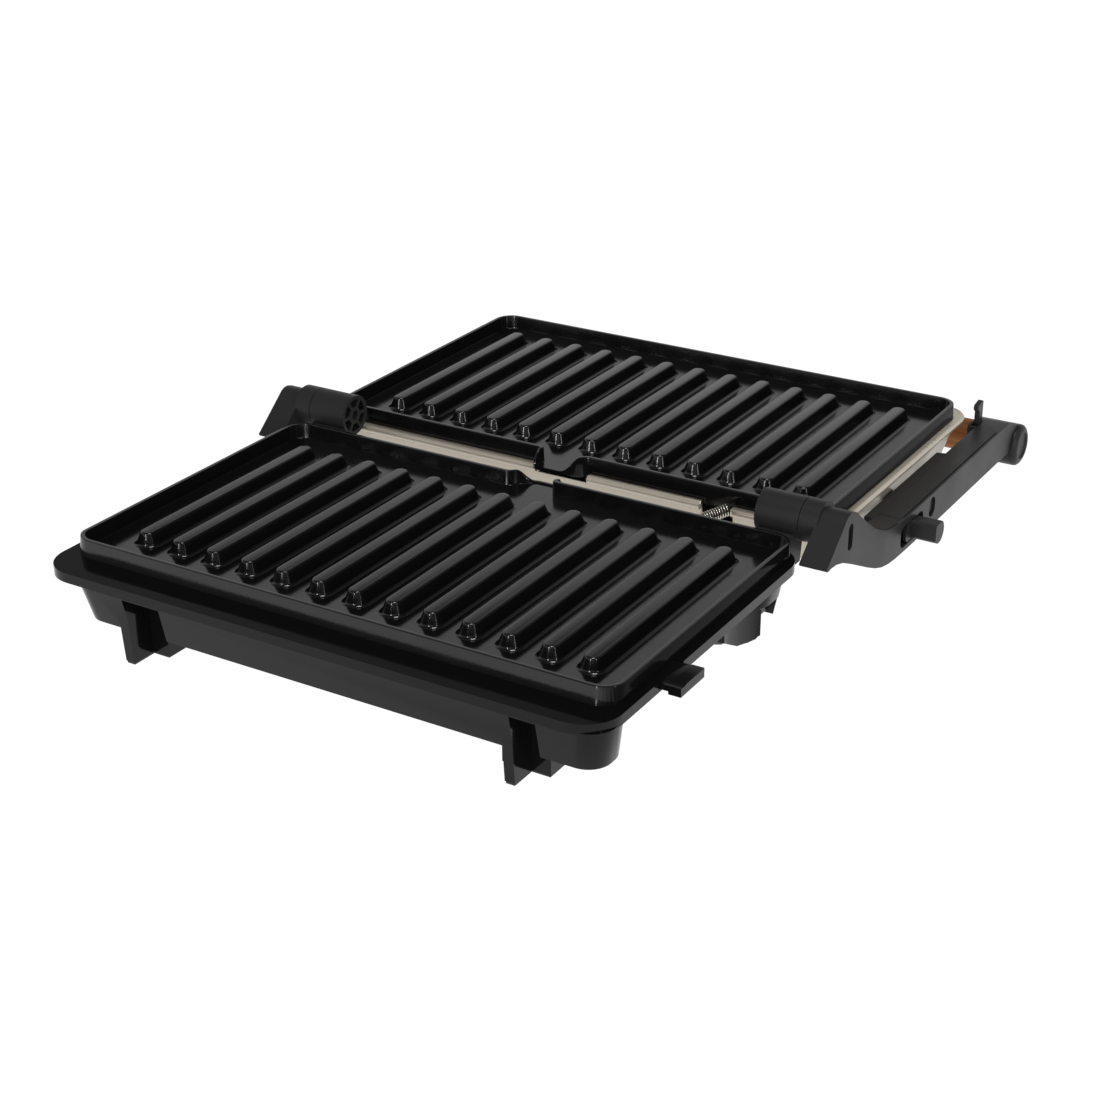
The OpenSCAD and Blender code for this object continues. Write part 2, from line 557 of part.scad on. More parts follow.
module arm_screws() row_frame() color(steel) side_by_side()
    for (y = arm_screw_y) rod_z((arm_x0 + arm_x1) / 2, y, arm_z0 + 2, arm_z1 - 0.4, screw_r);

module handle_grip() row_frame() color([0.5, 0.3, 0.13]) difference() {
    rod_x(-arm_x0 + 4, arm_x0 - 4, handle_y, boss_z, grip_r);
    rod_x(-arm_x0, arm_x0, handle_y, boss_z, 2.7);
}
module handle_rod() row_frame() color(steel)
    rod_x(-arm_x1 + 1, arm_x1 - 1, handle_y, boss_z, 2.5);
module handle_cap()
    translate([arm_x1, handle_y, boss_z]) rotate([0, 90, 0]) rotate_extrude()
        polygon([[0, 0], [boss_r, 0], [boss_r - 0.2, cap_out * 0.4], [boss_r - 1, cap_out * 0.75],
            [boss_r - 2.2, cap_out], [boss_r - 3.2, cap_out], [boss_r - 3.8, cap_out - 0.8], [0, cap_out - 0.8]]);
module handle_cap_right() row_frame() color(matte) handle_cap();
module handle_cap_left() row_frame() color(matte) mirror([1, 0, 0]) handle_cap();

module lock_slider() row_frame() color(matte) {
    round_block(arm_x1 - 1.6, arm_x1 - 0.2, knob_y - 8, knob_y + 4.4, window_z0 + knob_gap, window_z1 - knob_gap, 2.4);
    intersection() {
        rod_x(arm_x1 - 1, knob_x, knob_y, knob_z, 4.7);
        box(arm_x1 - 2, knob_x + 1, knob_y - 3.8, knob_y + 5, knob_z - 5, knob_z + 3.9);
    }
}
knob_z = (arm_z0 + arm_z1) / 2;

// Flat hook that stands up through a slot in the hood beside the right arm
latch_y = handle_y - 17.5;
latch_z = arm_z0 + 6.5;
module latch_hook() row_frame() color(matte) {
    rod_x(arm_x0 - 2.4, arm_x0 + 8, latch_y, latch_z, 1.2);
    side(arm_x0 - 2.4, arm_x0 - 0.2) polygon([[latch_y - 3.4, latch_z - 3], [latch_y + 1.8, latch_z - 3],
        [latch_y + 0.6, arm_z1], [latch_y + 0.6, arm_z1 + 9.6], [latch_y - 0.2, arm_z1 + 10.1],
        [latch_y - 5.2, arm_z1 + 9.2], [latch_y - 5.6, arm_z1 + 8], [latch_y - 5.2, arm_z1 + 6.8],
        [latch_y - 3.6, arm_z1 + 5.8]]);
}

// Lid shell: lip at the plate, drawn sides and a flat top that faces the table here
module lid_cover() row_frame() color(champagne) difference() {
    union() {
        slab(lid_x, lid_y0, lid_y1, lid_r, seat_z - 2.2, seat_z);
        hull() {
            slab(lid_x - 1.6, lid_y0 + 1.6, lid_y1 - 1.6, lid_r - 1.6, seat_z - 2.3, seat_z - 2.2, $fn = 32);
            slab(lid_x - 5, lid_y0 + 4, lid_y1 - 6, lid_r, lid_z0 + 5, lid_z0 + 5.1, $fn = 32);
            slab(lid_x - 14, lid_y0 + 14, lid_y1 - 14, lid_r - 4, lid_z0, lid_z0 + 0.1, $fn = 32);
        }
    }
    hull() {
        slab(lid_x - 1.6 - lid_t, lid_y0 + 1.6 + lid_t, lid_y1 - 1.6 - lid_t, lid_r - 1.6 - lid_t,
            seat_z + 0.5, seat_z + 0.6, $fn = 32);
        slab(lid_x - 5 - lid_t, lid_y0 + 4 + lid_t, lid_y1 - 6 - lid_t, lid_r - lid_t, lid_z0 + 5, lid_z0 + 5.1,
            $fn = 32);
        slab(lid_x - 14, lid_y0 + 14, lid_y1 - 14, lid_r - 4, lid_z0 + lid_t, lid_z0 + lid_t + 0.1, $fn = 32);
    }
    box(-spout_w / 2 - 1, spout_w / 2 + 1, lid_y0 - 1, lid_y0 + 6, seat_z - 4, seat_z + 1);
    box(notch_x0, notch_x0 + 13.5, lid_y0 - 1, lid_y0 + 5.5, seat_z - 7, seat_z + 1);
    for (x = [-50, 50]) rod_z(x, pivot_y + 40, lid_z0 - 1, lid_z0 + 3, 3.1);
    rod_x(-lid_x - 1, lid_x + 1, pivot_y, pivot_z, lid_pin_r + 0.2);
}
lid_pin_r = 2.9;
notch_x0 = 62.5;                            // notch that lets the wire conduit into the lid
module lid_pivot() {
    rod_x(plate_x - 7.5, arm_x1 - 1, pivot_y, pivot_z, lid_pin_r);
    box(plate_x - 7.5, plate_x - 5, pivot_y - 8, pivot_y + 8, pivot_z - 1, seat_z);
}
module lid_pivot_right() row_frame() color(steel) lid_pivot();
module lid_pivot_left() row_frame() color(steel) mirror([1, 0, 0]) lid_pivot();
lid_post_x = 60;
module lid_screws() row_frame() color(steel)
    for (x = [-lid_post_x, lid_post_x], y = [plate_y + 12, plate_y + plate_d - 12])
        rod_z(x, y, lid_z0 + lid_t + 2.2, floor_z - plate_floor_t, screw_r);
module indicator_lenses() row_frame() color([0.75, 0.1, 0.05])
    for (x = [-50, 50]) rod_z(x, pivot_y + 40, lid_z0 - 0.6, lid_z0 + 2.2, 3);

// Coil of wire swept as one tube along the conduit
coil_from = [64, -3, axis_z - 16];
coil_to = [81, 9.4, axis_z - 5];
module wire_conduit_spring() row_frame() color(steel) coil_tube();
coil_steps = 8;
coil_len = norm(coil_to - coil_from);
u_ax = (coil_to - coil_from) / coil_len;
v_ax = cross([0, 0, 1], u_ax) / norm(cross([0, 0, 1], u_ax));
w_ax = cross(u_ax, v_ax);
coil_start = (coil_len - coil_count * coil_pitch) / 2;
function coil_point(t) = coil_from + u_ax * (coil_start + coil_pitch * t)
    + (v_ax * cos(360 * t) + w_ax * sin(360 * t)) * coil_r;
function coil_dir(t) = let (d = coil_point(t + 0.001) - coil_point(t - 0.001)) d / norm(d);
function ring(p, d, out) = let (s = cross(d, out), n = s / norm(s), m = cross(n, d))
    [for (k = [0 : 5]) p + (n * cos(60 * k) + m * sin(60 * k)) * wire_d / 2];
function coil_out(t) = v_ax * cos(360 * t) + w_ax * sin(360 * t);
rings = [for (i = [0 : coil_steps * coil_count]) let (t = i / coil_steps)
    ring(coil_point(t), coil_dir(t), coil_out(t))];
module coil_tube() {
    n = len(rings);
    polyhedron(points = [for (r = rings) each r],
        faces = concat([[5, 4, 3, 2, 1, 0]],
            [for (i = [0 : n - 2], k = [0 : 5]) let (a = 6 * i + k, b = 6 * i + (k + 1) % 6)
                each [[a, b, b + 6], [a, b + 6, a + 6]]],
            [[for (k = [0 : 5]) 6 * (n - 1) + k]]));
}
echo(coil_gap = coil_pitch - wire_d);

base_housing();
base_bottom_cover();
front_foot_pads();
rear_feet();
lower_grill_plate();
lower_heating_element();
lower_reflector();
thermostat();
thermal_fuse();
terminal_block();
cord_gland();
grease_chute();
hinge_knuckle_left();
hinge_knuckle_right();
plate_catch();
catch_spring();
drip_tray();
base_screws();
hinge_screws();
hinge_pin_left();
hinge_pin_right();
arm_left();
arm_right();
arm_cover_left();
arm_cover_right();
handle_grip();
handle_rod();
handle_cap_left();
handle_cap_right();
arm_screws();
lock_slider();
latch_hook();
lid_cover();
upper_grill_plate();
upper_heating_element();
upper_reflector();
lid_pivot_left();
lid_pivot_right();
lid_screws();
indicator_lenses();
wire_conduit_spring();
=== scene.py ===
import json
import math

import bmesh
import bpy
from mathutils import Matrix, Quaternion, Vector


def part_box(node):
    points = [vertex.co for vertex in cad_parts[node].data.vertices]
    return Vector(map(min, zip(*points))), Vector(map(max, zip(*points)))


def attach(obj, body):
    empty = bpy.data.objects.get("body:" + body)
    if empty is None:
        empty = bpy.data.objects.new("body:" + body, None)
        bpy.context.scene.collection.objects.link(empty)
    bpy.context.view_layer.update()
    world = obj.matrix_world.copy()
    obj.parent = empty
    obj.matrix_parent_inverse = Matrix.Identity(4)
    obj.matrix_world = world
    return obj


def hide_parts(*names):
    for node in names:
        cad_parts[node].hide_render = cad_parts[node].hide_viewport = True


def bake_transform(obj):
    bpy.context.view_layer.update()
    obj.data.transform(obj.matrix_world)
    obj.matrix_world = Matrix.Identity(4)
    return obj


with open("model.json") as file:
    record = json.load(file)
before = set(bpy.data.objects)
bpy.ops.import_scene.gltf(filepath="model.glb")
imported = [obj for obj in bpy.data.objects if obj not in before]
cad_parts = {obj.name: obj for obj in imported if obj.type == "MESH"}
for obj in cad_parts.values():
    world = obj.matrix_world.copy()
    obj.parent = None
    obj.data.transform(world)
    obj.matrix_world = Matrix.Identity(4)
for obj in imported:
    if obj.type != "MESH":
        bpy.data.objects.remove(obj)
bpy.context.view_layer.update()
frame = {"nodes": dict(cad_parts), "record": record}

MM = 0.001

# Camera of the photograph: place, rotation vector from the world to the camera, lens and sensor in mm
CAMERA_AT = Vector((387.2, -658.5, 353.2)) * MM
CAMERA_TURN = (1.9516, 0.5425, -0.3502)
CAMERA_LENS = 67.12
SENSOR_WIDTH = 36

# World brightness: even up to a height (the sine of its angle), then falling to a dark ceiling
SKY_LOW = 0.6
SKY_LOW_TO = 0.52
SKY_TOP_FROM = 0.7
SKY_TOP = 0.12

# Area lights: name, place, aim, width and height in metres, power in watts
LIGHTS = (
    ("top_box", (0.25, -0.2, 1.7), (0, 0, 0), 0.5, 0.5, 14),
    ("left_box", (0.05, -1.75, 0.62), (0, 0, 0.05), 0.12, 1.2, 12),
    ("right_box", (1.65, -0.62, 0.62), (0, 0, 0.05), 0.12, 1.2, 12),
)

# Floor: size of its grid in metres, and the strength of its white emission
FLOOR_SIZE = 6
FLOOR_GLOW = 1.02

# Part of a noise's range that is spread over a range of roughness
NOISE_FROM = 0.3
NOISE_TO = 0.7

# Specular level of the gloss plastic
GLOSS_LEVEL = 0.2

# Painted shade: lowered specular level, and how far a face looks along the axis where lowering starts and
# ends
PAINTED_SHADE_LEVEL = 0.03
PAINTED_SHADE_FROM = 0.3
PAINTED_SHADE_TO = 0.8

# From here to the first function, sizes and places are in mm and angles in degrees

# Steps of each arc, and the least share of a step inwards that counts at an outline's corner
ARC_STEPS = 10
LEAST_MITRE = 0.5

# Grill plates: thickness of the rim, its height above the ribs, how far in the hollow underside starts,
# radius of the corners, and how far the walls lean in; FRONT_LEAN is for the lower plate's front only
RIM_THICKNESS = 1.7
RIM_OVER = 1.0
UNDERSIDE = 8.0
PLATE_RADIUS = 8.5
SIDE_LEAN = 0.3
FRONT_LEAN = 1.0

# Section of a plate from its hollow underside over the rim to its floor: distance in from the outline,
# 1 where the wall leans, the level measured from, and the height above that level
PLATE_SECTION = (
    (UNDERSIDE, 0, "floor", -1.0),
    (UNDERSIDE, 0, "seat", 0),
    (0.3, 0, "seat", 0),
    (0.0, 0, "seat", 0.3),
    (0.0, 1, "rim", -0.25),
    (0.07, 1, "rim", -0.07),
    (0.25, 1, "rim", 0),
    (RIM_THICKNESS - 0.2, 1, "rim", 0),
    (RIM_THICKNESS - 0.05, 1, "rim", -0.05),
    (RIM_THICKNESS, 1, "rim", -0.2),
    (RIM_THICKNESS + 0.25, 1, "floor", 0.6),
    (RIM_THICKNESS + 0.4, 1, "floor", 0.15),
    (RIM_THICKNESS + 0.7, 1, "floor", 0),
    (RIM_THICKNESS + 1.4, 1, "floor", 0),
)

# Ribs of a plate
RIB_COUNT = 13
RIB_PITCH = 15.88
RIB_HEIGHT = 5.0
RIB_TOP_WIDTH = 5.4
RIB_FOOT_WIDTH = 8.4
RIB_END_GAP = 17.0

# Flare at a rib's foot, as (height, extra half width), and the rounded edge of its top
RIB_FLARE = ((0.0, 1.4), (0.12, 0.9), (0.4, 0.45), (0.85, 0.15), (1.4, 0.0))
RIB_EDGE_RADIUS = 0.9
RIB_EDGE_OUT = 0.35
RIB_EDGE_ANGLES = (0, 22, 45, 67, 90)

# Spout of a plate: its square side lies at -SPOUT_CORNER, its swept side runs from SPOUT_TIP to SPOUT_ROOT
SPOUT_REACH = 7.0
SPOUT_CORNER = 12.0
SPOUT_CORNER_RADIUS = 2.4
SPOUT_CORNER_STEPS = 5
SPOUT_TIP = 0.5
SPOUT_TIP_STEPS = 4
SPOUT_ROOT = 11.5
SPOUT_SWEEP_STEPS = 14
SPOUT_FILLET = 0.8
SPOUT_FILLET_MIDDLE = 0.25

# The spout's wall gets thinner by a share of its thickness, and the rim comes down to a low lip
SPOUT_THINNED = 0.45
SPOUT_THINNED_OVER = 2
SPOUT_FALL_FROM = 1.5
SPOUT_FALL_OVER = 5.3
SPOUT_LIP = 0.7

# Wooden grip: roundings at its ends, as (distance from the end, loss of radius), and its straight middle
GRIP_END = ((0.0, 1.2), (0.6, 0.5), (1.6, 0.1))
GRIP_MIDDLE_FROM = 6
GRIP_MIDDLE_STEPS = 8
GRIP_SIDES = 64

# Middle line of the wire conduit: its ends, and the point that both ends head for
CONDUIT_FROM = (56.0, -27.6, 25.5)
CONDUIT_BEND = (60.5, -21.5, 29.8)
CONDUIT_TO = (72.4, -8.8, 34.2)

# The conduit's spring and the sleeve inside it
SPRING_RADIUS = 2.3
WIRE_RADIUS = 0.25
SPRING_TURNS = 33
TURN_STEPS = 24
WIRE_SIDES = 8
SLEEVE_STEPS = 16

# Arm tops and the wings on their inner sides
WING_X = (111.15, 114.9)
WING_Y = (33.0, 109.4)
WING_Z = (10.4, 24.0)
WING_SLANT = 1.1
COVER_OUTER_X = 124.5
COVER_Y = (38.0, 144.0)
COVER_THICKNESS = 0.3
COVER_OVERLAP = 0.2

# Twice the X of the grill's middle plane
MIRROR_X = -8.1

# Rolled edge of the lid, and its open places along X
BEAD_RADIUS = 1.7
BEAD_OUT = 0.8
BEAD_CORNER_RADIUS = 9.5
BEAD_SIDES = 16
SPOUT_GAP = (-16.1, 8.0)
NOTCH_GAP = (58.4, 72.0)

# Rounded edges of the nodes that keep their own shape; 0 leaves the edges as they are
EDGES = {
    "base_housing": 0.5,
    "drip_tray": 0.4,
    "plate_catch": 0.4,
    "arm_left": 0.18,
    "arm_right": 0.18,
    "arm_cover_left": 0.3,
    "arm_cover_right": 0.3,
    "hinge_knuckle_left": 0.8,
    "hinge_knuckle_right": 0.8,
    "lid_cover": 0,
    "lock_slider": 0.5,
    "latch_hook": 0.3,
    "handle_cap_left": 0.3,
    "handle_cap_right": 0.3,
    "front_foot_pads": 0.2,
}
FINE_EDGE = 0.12
EDGE_SEGMENTS = 3
EDGE_ANGLE = 32

# Distance within which points merge, angle under which faces count as one flat face, and the weight that
# large faces get in the normals
WELD_REACH = 0.01
FLAT_ANGLE = 0.5
FACE_WEIGHT = 90


def new_material(name, color, roughness, metallic=0.0, coat=0.0, specular=0.5):
    material = bpy.data.materials.new(name)
    material.use_nodes = True
    inputs = material.node_tree.nodes["Principled BSDF"].inputs
    inputs["Base Color"].default_value = (*color, 1)
    inputs["Roughness"].default_value = roughness
    inputs["Metallic"].default_value = metallic
    inputs["Coat Weight"].default_value = coat
    inputs["Specular IOR Level"].default_value = specular
    return material


def feed(material, name, value):
    """Links a value into an input of the material's shader."""
    shader = material.node_tree.nodes["Principled BSDF"]
    material.node_tree.links.new(value, shader.inputs[name])


def noise(material, scale, detail=4.0, stretch=(1, 1, 1)):
    """A noise texture in the object's own coordinates, its scale in grains per metre."""
    nodes = material.node_tree.nodes
    links = material.node_tree.links
    place = nodes.new("ShaderNodeTexCoord")
    mapping = nodes.new("ShaderNodeMapping")
    mapping.inputs["Scale"].default_value = stretch
    texture = nodes.new("ShaderNodeTexNoise")
    texture.inputs["Scale"].default_value = scale
    texture.inputs["Detail"].default_value = detail
    links.new(place.outputs["Object"], mapping.inputs["Vector"])
    links.new(mapping.outputs["Vector"], texture.inputs["Vector"])
    return texture.outputs["Fac"]


def add_bump(material, height, strength, distance):
    """Feeds a height, scaled by a distance in metres, into the shader's normal, on top of any bump there."""
    nodes = material.node_tree.nodes
    links = material.node_tree.links
    normal = nodes["Principled BSDF"].inputs["Normal"]
    bump = nodes.new("ShaderNodeBump")
    bump.inputs["Strength"].default_value = strength
    bump.inputs["Distance"].default_value = distance
    links.new(height, bump.inputs["Height"])
    if normal.is_linked:
        links.new(normal.links[0].from_socket, bump.inputs["Normal"])
    links.new(bump.outputs["Normal"], normal)


def ramp_value(owner, value, start, end, low, high):
    """Maps start to end onto low to high, clamped, in the nodes of a material or a world."""
    spread = owner.node_tree.nodes.new("ShaderNodeMapRange")
    for key, number in (("From Min", start), ("From Max", end), ("To Min", low), ("To Max", high)):
        spread.inputs[key].default_value = number
    owner.node_tree.links.new(value, spread.inputs["Value"])
    return spread.outputs["Result"]


def pick_axis(owner, vector, axis):
    """The X, Y or Z of a vector, in the nodes of a material or a world."""
    parts = owner.node_tree.nodes.new("ShaderNodeSeparateXYZ")
    owner.node_tree.links.new(vector, parts.inputs["Vector"])
    return parts.outputs[axis]


def vary_roughness(material, value, low, high):
    feed(material, "Roughness", ramp_value(material, value, NOISE_FROM, NOISE_TO, low, high))


def vary_color(material, value, stops):
    nodes = material.node_tree.nodes
    ramp = nodes.new("ShaderNodeValToRGB")
    elements = ramp.color_ramp.elements
    while len(elements) < len(stops):
        elements.new(0.5)
    for element, (position, color) in zip(elements, stops):
        element.position = position
        element.color = (*color, 1)
    material.node_tree.links.new(value, ramp.inputs["Fac"])
    feed(material, "Base Color", ramp.outputs["Color"])


def paint_shade_towards(material, axis, level):
    """Paints shade: lowers the specular level of the faces that look along an axis of the world, because the
    photograph shows them black; level is that of all other faces."""
    surface = material.node_tree.nodes.new("ShaderNodeNewGeometry")
    facing = pick_axis(material, surface.outputs["True Normal"], axis)
    lowered = ramp_value(material, facing, PAINTED_SHADE_FROM, PAINTED_SHADE_TO, level, PAINTED_SHADE_LEVEL)
    feed(material, "Specular IOR Level", lowered)


def nonstick():
    """Smooth dark coating on cast aluminium, with a faint orange peel, and painted shade on the faces that
    look along +X.
    """
    material = new_material("nonstick", (0.0035, 0.0033, 0.0037), roughness=0.14)
    vary_roughness(material, noise(material, scale=35), low=0.11, high=0.18)
    add_bump(material, noise(material, scale=900, detail=2), strength=0.05, distance=0.0003)
    add_bump(material, noise(material, scale=70, detail=2), strength=0.05, distance=0.001)
    # Painted shade: faces that look along +X, such as one side of each rib, get a lowered specular level and
    # read black
    paint_shade_towards(material, "X", level=0.5)
    return material


def gloss_plastic(name):
    material = new_material(name, (0.0035, 0.0034, 0.0033), roughness=0.1, specular=GLOSS_LEVEL)
    vary_roughness(material, noise(material, scale=20), low=0.07, high=0.13)
    add_bump(material, noise(material, scale=50, detail=2), strength=0.06, distance=0.001)
    return material


def housing_plastic():
    """Gloss plastic with painted shade on top: up-facing faces get a lowered specular level and read black.
    """
    material = gloss_plastic("housing_black")
    # Painted shade on the up-facing faces of the housing
    paint_shade_towards(material, "Z", level=GLOSS_LEVEL)
    return material


def satin_plastic(name, gray, roughness):
    """Moulded plastic with a fine even grain."""
    material = new_material(name, (gray, gray, gray), roughness, specular=0.12)
    vary_roughness(material, noise(material, scale=40), low=roughness - 0.05, high=roughness + 0.06)
    add_bump(material, noise(material, scale=2500, detail=2), strength=0.25, distance=0.0002)
    return material


def rubber():
    material = new_material("rubber", (0.02, 0.02, 0.02), roughness=0.75)
    add_bump(material, noise(material, scale=1500, detail=3), strength=0.4, distance=0.0003)
    return material


def metal(name, color, roughness, stretch=(1, 1, 1)):
    """Bare metal, its marks drawn out where stretch differs between the axes."""
    material = new_material(name, color, roughness, metallic=1.0)
    marks = noise(material, scale=300, detail=4, stretch=stretch)
    grain = noise(material, scale=1200, detail=3, stretch=stretch)
    vary_roughness(material, marks, low=roughness - 0.07, high=roughness + 0.1)
    add_bump(material, grain, strength=0.08, distance=0.0002)
    return material


def champagne():
    """Satin metallic paint over drawn sheet."""
    material = new_material("champagne_metal", (0.5, 0.45, 0.373), roughness=0.3, metallic=0.5)
    vary_roughness(material, noise(material, scale=50), low=0.26, high=0.36)
    add_bump(material, noise(material, scale=3000, detail=2), strength=0.15, distance=0.0002)
    return material


def wood():
    """Straight-grained wood along X."""
    material = new_material("wood", (0.2, 0.08, 0.025), roughness=0.5, specular=0.2)
    fibres = noise(material, scale=260, detail=6, stretch=(0.05, 1, 1))
    dark = (0.11, 0.035, 0.008)
    middle = (0.2, 0.072, 0.017)
    light = (0.28, 0.112, 0.032)
    vary_color(material, fibres, [(0.3, dark), (0.5, middle), (0.7, light)])
    add_bump(material, fibres, strength=0.35, distance=0.0006)
    return material


def ceramic():
    material = new_material("ceramic", (0.75, 0.72, 0.66), roughness=0.6)
    add_bump(material, noise(material, scale=900, detail=3), strength=0.2, distance=0.0003)
    return material


def lens_red():
    material = new_material("lens_red", (0.45, 0.02, 0.015), roughness=0.12, coat=0.5)
    add_bump(material, noise(material, scale=500, detail=2), strength=0.1, distance=0.0003)
    return material


MATERIALS = {
    "gloss_black": gloss_plastic("gloss_black"),
    "matte_black": satin_plastic("matte_black", gray=0.009, roughness=0.5),
    "hinge_black": satin_plastic("hinge_black", gray=0.018, roughness=0.36),
    "rubber": rubber(),
    "nonstick": nonstick(),
    "element_steel": metal("element_steel", (0.3, 0.29, 0.28), roughness=0.4),
    "sheet_metal": metal("sheet_metal", (0.6, 0.6, 0.58), roughness=0.3, stretch=(1, 20, 1)),
    "ceramic": ceramic(),
    "screw_steel": metal("screw_steel", (0.55, 0.54, 0.5), roughness=0.3),
    "wood": wood(),
    "champagne_metal": champagne(),
    "lens_red": lens_red(),
    "spring_wire": metal("spring_wire", (0.66, 0.62, 0.55), roughness=0.22),
}

# Nodes that look different from the other nodes of their slot
LOOKS = {
    # The housing's material paints shade on its up-facing faces
    "base_housing": housing_plastic(),
    "lid_pivot_left": MATERIALS["hinge_black"],
    "lid_pivot_right": MATERIALS["hinge_black"],
}


def to_object(name, bm, slot, sharp_angle=35):
    """Makes a smooth-shaded object of a bmesh, sharp where faces meet at more than sharp_angle degrees."""
    bmesh.ops.recalc_face_normals(bm, faces=bm.faces)
    mesh = bpy.data.meshes.new(name)
    bm.to_mesh(mesh)
    bm.free()
    mesh.shade_smooth()
    mesh.set_sharp_from_angle(angle=math.radians(sharp_angle))
    mesh.materials.append(MATERIALS[slot])
    piece = bpy.data.objects.new(name, mesh)
    bpy.context.scene.collection.objects.link(piece)
    return piece


def around(steps):
    """Angles that divide a full turn evenly."""
    return [2 * math.pi * k / steps for k in range(steps)]


def smoothstep(t):
    """Eases from 0 to 1."""
    t = min(max(t, 0.0), 1.0)
    return t * t * (3 - 2 * t)


def arc(cx, cy, radius, start, end, steps):
    """Points of a circle's arc."""
    angles = [math.radians(start + (end - start) * k / steps) for k in range(steps + 1)]
    return [(cx + radius * math.cos(a), cy + radius * math.sin(a)) for a in angles]


def add_loft(bm, rings):
    """Skins rings of equally many points, each ring closed, and caps the ends."""
    loops = [[bm.verts.new(point) for point in ring] for ring in rings]
    count = len(loops[0])
    for lower, upper in zip(loops, loops[1:]):
        for i in range(count):
            j = (i + 1) % count
            bm.faces.new((lower[i], lower[j], upper[j], upper[i]))
    bm.faces.new(reversed(loops[0]))
    bm.faces.new(loops[-1])


def inset(points, distances):
    """Moves each point of a closed anticlockwise outline inwards by its own distance."""
    moved = []
    for i, point in enumerate(points):
        here = Vector(point)
        first = (here - Vector(points[i - 1])).normalized()
        second = (Vector(points[(i + 1) % len(points)]) - here).normalized()
        normal = Vector((-(first + second).y, (first + second).x)).normalized()
        share = max(LEAST_MITRE, normal.dot(Vector((-first.y, first.x))))
        moved.append(here + normal * (distances[i] / share))
    return moved


def spout_outline():
    """Points of the spout in (x, v), from the foot of its square side to the foot of its swept side."""
    radius = SPOUT_CORNER_RADIUS
    points = [
        (-SPOUT_CORNER - SPOUT_FILLET, 0.0),
        (-SPOUT_CORNER - SPOUT_FILLET_MIDDLE, -SPOUT_FILLET_MIDDLE),
        (-SPOUT_CORNER, -SPOUT_FILLET),
        (-SPOUT_CORNER, -(SPOUT_REACH - radius) / 2),
    ]
    points += arc(-SPOUT_CORNER + radius, -SPOUT_REACH + radius, radius, 180, 270, SPOUT_CORNER_STEPS)
    for k in range(1, SPOUT_TIP_STEPS):
        x = -SPOUT_CORNER + radius + (SPOUT_TIP + SPOUT_CORNER - radius) * k / SPOUT_TIP_STEPS
        points.append((x, -SPOUT_REACH))
    for k in range(SPOUT_SWEEP_STEPS + 1):
        t = k / SPOUT_SWEEP_STEPS
        points.append((SPOUT_TIP + t * (SPOUT_ROOT - SPOUT_TIP), -SPOUT_REACH * (1 - smoothstep(t))))
    return points


def plate_outline(half, depth, turned):
    """Anticlockwise outline in (x, v), v away from the hinge. The spout juts past v = 0; turned puts its
    square side on the right."""
    spout = spout_outline()
    if turned:
        spout = [(-x, v) for x, v in reversed(spout)]
    radius = PLATE_RADIUS
    points = arc(-half + radius, radius, radius, 180, 270, ARC_STEPS) + spout
    points += arc(half - radius, radius, radius, 270, 360, ARC_STEPS)
    points += arc(half - radius, depth - radius, radius, 0, 90, ARC_STEPS)
    points += arc(-half + radius, depth - radius, radius, 90, 180, ARC_STEPS)
    return points


def rib_rings(x, v0, v1, floor):
    """Stadium rings from the flared foot of a rib to its flat top."""
    foot = RIB_FOOT_WIDTH / 2
    top = RIB_TOP_WIDTH / 2
    profile = [(height, foot + wider) for height, wider in RIB_FLARE]
    for angle in RIB_EDGE_ANGLES:
        a = math.radians(angle)
        height = RIB_HEIGHT - RIB_EDGE_RADIUS + RIB_EDGE_RADIUS * math.sin(a)
        profile.append((height, top + RIB_EDGE_OUT - RIB_EDGE_RADIUS * (1 - math.cos(a))))
    rings = []
    for height, half in profile:
        outline = arc(x, v1 - foot, half, 0, 180, ARC_STEPS) + arc(x, v0 + foot, half, 180, 360, ARC_STEPS)
        rings.append([(px, pv, floor + height) for px, pv in outline])
    return rings


def grill_plate(name, node, slope, body):
    """Ribbed plate with a spout towards the hinge; slope is +1 where the plate lies on the +Y side of the
    hinge and -1 on the other."""
    low, high = (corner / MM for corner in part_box(node))
    centre = (low.x + high.x) / 2
    half = (high.x - low.x) / 2
    edge = low.y + SPOUT_REACH if slope > 0 else high.y - SPOUT_REACH
    depth = high.y - low.y - SPOUT_REACH
    floor = high.z - RIM_OVER - RIB_HEIGHT
    levels = {"seat": low.z, "rim": high.z, "floor": floor}

    outline = plate_outline(half, depth, slope < 0)
    straight = [(x, max(v, 0.0)) for x, v in outline]
    front = FRONT_LEAN if slope < 0 else SIDE_LEAN

    # For each point of the outline: its share of a step inwards, how far its rim is lowered, and its lean
    weights = []
    lowered = []
    leans = []
    for x, v in outline:
        weights.append(1 - SPOUT_THINNED * smoothstep(-v / SPOUT_THINNED_OVER) if v < 0 else 1.0)
        lowered.append(smoothstep((-v - SPOUT_FALL_FROM) / SPOUT_FALL_OVER))
        leans.append(SIDE_LEAN + (front - SIDE_LEAN) * smoothstep((v - depth + PLATE_RADIUS) / PLATE_RADIUS))

    def place(x, v, z):
        return Vector((centre + x, edge + slope * v, z)) * MM

    bm = bmesh.new()
    rings = []
    for base, leaning, level, above in PLATE_SECTION:
        z = levels[level] + above
        below = base == UNDERSIDE
        distances = [weight * (base + leaning * lean) for weight, lean in zip(weights, leans)]
        moved = inset(straight if below else outline, distances)
        lip = floor + SPOUT_LIP if base <= RIM_THICKNESS else floor
        at_spout = z if below else min(max(z, floor - SPOUT_LIP), lip)
        rings.append([place(x, v, z + (at_spout - z) * down) for (x, v), down in zip(moved, lowered)])
    add_loft(bm, rings)
    for i in range(RIB_COUNT):
        x = (i - (RIB_COUNT - 1) / 2) * RIB_PITCH
        rib = rib_rings(x, RIB_END_GAP, depth - RIB_END_GAP, floor)
        add_loft(bm, [[place(*point) for point in ring] for ring in rib])
    piece = to_object(name, bm, "nonstick")
    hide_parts(node)
    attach(piece, body)


